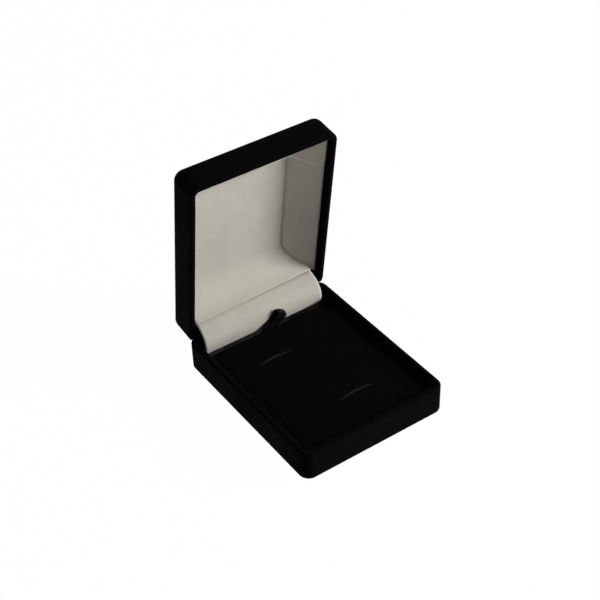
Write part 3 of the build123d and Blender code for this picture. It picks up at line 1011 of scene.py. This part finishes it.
def slitPoint(slit, along, across):  # along from -1 to 1, and across from the middle line
    half, bow = pad["slitLength"] / 2, pad["slitBow"]
    radius = (half ** 2 + bow ** 2) / (2 * bow)
    turn = along * atan2(half, radius - bow)
    reach = radius + across
    return slit[0] + reach * sin(turn), slit[1] + bow - radius + reach * cos(turn)


# A slit's closed outline, grown outwards by a distance, with the normals as a taper at its ends
def slitOutline(slit, growth, steps=40):
    alongs = [-cos(step / steps * pi) for step in range(steps + 1)]
    half = pad["slitWidth"] / 2 + growth
    stretch = 1 + growth / (pad["slitLength"] / 2)
    widths = [half * (1 - along ** 2) ** pad["slitTaper"] for along in alongs]
    outline = [slitPoint(slit, a * stretch, w) for a, w in zip(alongs, widths)]
    return outline + [
        slitPoint(slit, a * stretch, -w) for a, w in zip(alongs[-2:0:-1], widths[-2:0:-1])
    ]


def cutSlit(piece, slit):
    low, high = padHigh.z - pad["slitDepth"], padHigh.z + 2 * mm
    outline = slitOutline(slit, 0)
    count = len(outline)
    points = [(x, y, z) for z in (low, high) for x, y in outline]
    faces = [[i, (i + 1) % count, count + (i + 1) % count, count + i] for i in range(count)]
    faces += [list(range(count))[::-1], list(range(count, 2 * count))]
    bar = addPiece("bar", points, [face[::-1] for face in faces], "velvet", smooth=False)
    cut = piece.modifiers.new("cut", "BOOLEAN")
    cut.operation, cut.solver, cut.object = "DIFFERENCE", "EXACT", bar
    frozen(piece)
    bpy.data.objects.remove(bar)


# The lips of a slit: each is a roll of the cut velvet, thick in the middle and nothing at its ends. Their velvet is
# nine times lighter: partly the cut edge's own paler colour, partly a painted highlight where the lips catch the
# light.
def addLips(surface):
    points, faces = [], []
    length, sides = 40, 12
    for slit in pad["slits"]:
        for edge, (width, rise) in pad["lips"].items():
            first = len(points)
            for along in (-cos(step / length * pi) for step in range(length + 1)):
                taper = max(0.02, 1 - along ** 2)
                middle = edge * (pad["slitWidth"] / 2 * taper + width / 4)
                for turn in spread(0, 2 * pi, sides)[:-1]:
                    x, y = slitPoint(slit, along, middle + width / 2 * taper * cos(turn))
                    points.append((x, y, surface(x, y) + (rise * sin(turn) - 0.06 * mm) * taper))
            shape = loopFaces(length + 1, sides)[: length * sides]
            shape += [list(range(sides)), list(range(length * sides, (length + 1) * sides))[::-1]]
            faces += [[first + index for index in face] for face in shape]
    return addPiece("slitLips", points, faces, "cutEdgeAndHighlight")


def addPadVelvet():
    piece = padBlock()
    swell(piece)
    smooth = piece.modifiers.new("smooth", "SMOOTH")
    smooth.iterations, smooth.factor = 3, 0.5
    finer = piece.modifiers.new("finer", "SUBSURF")
    finer.levels = finer.render_levels = 1
    frozen(piece)
    coverFoam(piece)
    found = piece.closest_point_on_mesh
    tops = {}

    def surface(x, y):  # height of the pad here, before its slits are cut
        key = (round(x / mm), round(y / mm))
        if key not in tops:
            tops[key] = found(Vector((x, y, padHigh.z)))[1].z
        return tops[key]

    lips = addLips(surface)
    for slit in pad["slits"]:
        cutSlit(piece, slit)
    for part in (piece, lips):
        part.data.set_sharp_from_angle(angle=radians(50))
        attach(part, "pad")
    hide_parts("pad_velvet")
    return piece


padVelvet = addPadVelvet()
print("pad made")


# The ribbon: a doubled strip that leans, its strands glued behind the pad and its fold at the top

ribbon = {
    "width": 4.9 * mm,
    "thickness": 0.2 * mm,
    "x": 1.8 * mm,
    "lean": radians(33),
    "straight": 7.7 * mm,
    "loop": 0.95 * mm,
    "low": -6.4 * mm,
    "behind": 0.4 * mm,  # from the pad to the rear strand
    "bulge": 0.5 * mm,  # of the front strand
    "apart": (-0.9 * mm, 0.45 * mm),  # the rear strand to the left and the front one to the right
    "flare": 1.6 * mm,  # the rear strand's foot, further to the left
    "flareHeight": 4.0 * mm,
    "cup": 0.22 * mm,  # across the width
    "corner": 1.1 * mm,  # how much the fold's corners fall
    "pushedIn": 5.2 * mm,  # below the pad's top, by the closed lid
    "keep": 0.06,
}


# Along is 0 to 1: up behind, over the fold and down in front. The third value goes from 0 on
# the rear strand to 1 on the front one.
def ribbonPath(along):
    rear = padHigh.y + ribbon["behind"]
    straight, loop, low = ribbon["straight"], ribbon["loop"], ribbon["low"]
    if along < 0.35:
        return rear, low + (straight - low) * along / 0.35, 0.0
    if along < 0.65:
        over = (along - 0.35) / 0.3
        return rear - loop + loop * cos(over * pi), straight + loop * sin(over * pi), over
    fall = (along - 0.65) / 0.35
    near = min(1, fall * 2.2)
    front = rear - 2 * loop + (2 * loop - 0.35 * mm) * near ** 2 * (3 - 2 * near)
    return front - ribbon["bulge"] * sin(pi * near), straight + (low - straight) * fall, 1.0


def addRibbon():
    lean = ribbon["lean"]
    up, across = Vector((sin(lean), 0, cos(lean))), Vector((cos(lean), 0, -sin(lean)))
    root = Vector((ribbon["x"], 0, padTop))
    top = ribbon["straight"] + ribbon["loop"]
    grid = []
    for along in spread(0, 1, 80):
        y, height, over = ribbonPath(along)
        near = min(1.0, max(0.0, height / top))
        aside = ribbon["apart"][0] + (ribbon["apart"][1] - ribbon["apart"][0]) * over
        aside -= ribbon["flare"] * (1 - over) * max(0.0, 1 - max(0.0, height) / ribbon["flareHeight"]) ** 2
        row = []
        for share in spread(-1, 1, 14):
            out = Vector((0, y + ribbon["cup"] * (share ** 2 - 0.4) * near, 0))
            fallen = height - ribbon["corner"] * abs(share) ** 3 * near ** 4
            row.append(root + out + up * fallen + across * (aside + share * ribbon["width"] / 2))
        grid.append(row)
    piece = addSheet("pullRibbon", grid, ribbon["thickness"], "ribbon", lightEnds=True, edgeWidth=0.5 * mm)
    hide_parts("pull_ribbon")
    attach(piece, "pad")
    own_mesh(piece)
    return piece


pullRibbon = addRibbon()
print("ribbon made")


# The stage

light = {
    "ambient": 0.07,
    "key": 16.3,
    "keyPlace": (0.915, -0.56, 0.393),
    "keySize": 0.38,
    "fill": 1.0,
    "fillColour": (1.0, 0.84, 0.97),
    "fillPlace": (-0.4, -0.9, 0.7),
    "fillSize": 0.9,
    "floorGlow": 0.99,
}


def addLamp(name, place, size, power, colour=(1, 1, 1)):
    lamp = bpy.data.objects.new(name, bpy.data.lights.new(name, "AREA"))
    lamp.data.size = size
    lamp.data.energy = power
    lamp.data.color = colour
    lamp.location = place
    lamp.rotation_euler = (Vector((0, 0, 0.03)) - Vector(place)).to_track_quat("-Z", "Y").to_euler()
    bpy.context.scene.collection.objects.link(lamp)


def seenDirectly(finish):
    path = finish.node("ShaderNodeLightPath", output="Is Camera Ray")
    mirrored = finish.node("ShaderNodeLightPath", output="Is Glossy Ray")
    through = finish.node("ShaderNodeLightPath", output="Is Transmission Ray")
    return path + mirrored + through


def addStage():
    finish = Finish("floor")
    plain = finish.node("ShaderNodeBsdfDiffuse", {}, {"Color": (0.9, 0.9, 0.9, 1)})
    glow = finish.node("ShaderNodeEmission", {}, {"Color": (1, 1, 1, 1), "Strength": 1.0})
    mixed = finish.node("ShaderNodeMixShader", {}, {0: seenDirectly(finish) * light["floorGlow"], 1: plain, 2: glow})
    finish.node("ShaderNodeOutputMaterial", {}, {"Surface": mixed})
    bpy.ops.mesh.primitive_plane_add(size=6)
    floor = bpy.context.object
    floor.name = "floor"
    floor.data.materials.append(finish.material)
    world = bpy.data.worlds.new("studio")
    world.use_nodes = True
    bpy.context.scene.world = world
    backdrop = Finish.__new__(Finish)
    backdrop.tree = world.node_tree
    backdrop.tree.nodes.clear()
    strength = seenDirectly(backdrop) * (1 - light["ambient"]) + light["ambient"]
    sky = backdrop.node("ShaderNodeBackground", {}, {"Color": (1, 1, 1, 1), "Strength": strength})
    backdrop.node("ShaderNodeOutputWorld", {}, {"Surface": sky})
    addLamp("key", light["keyPlace"], light["keySize"], light["key"])
    addLamp("fill", light["fillPlace"], light["fillSize"], light["fill"], light["fillColour"])
    bpy.context.scene.view_settings.view_transform = "Standard"


addStage()
print("stage set")
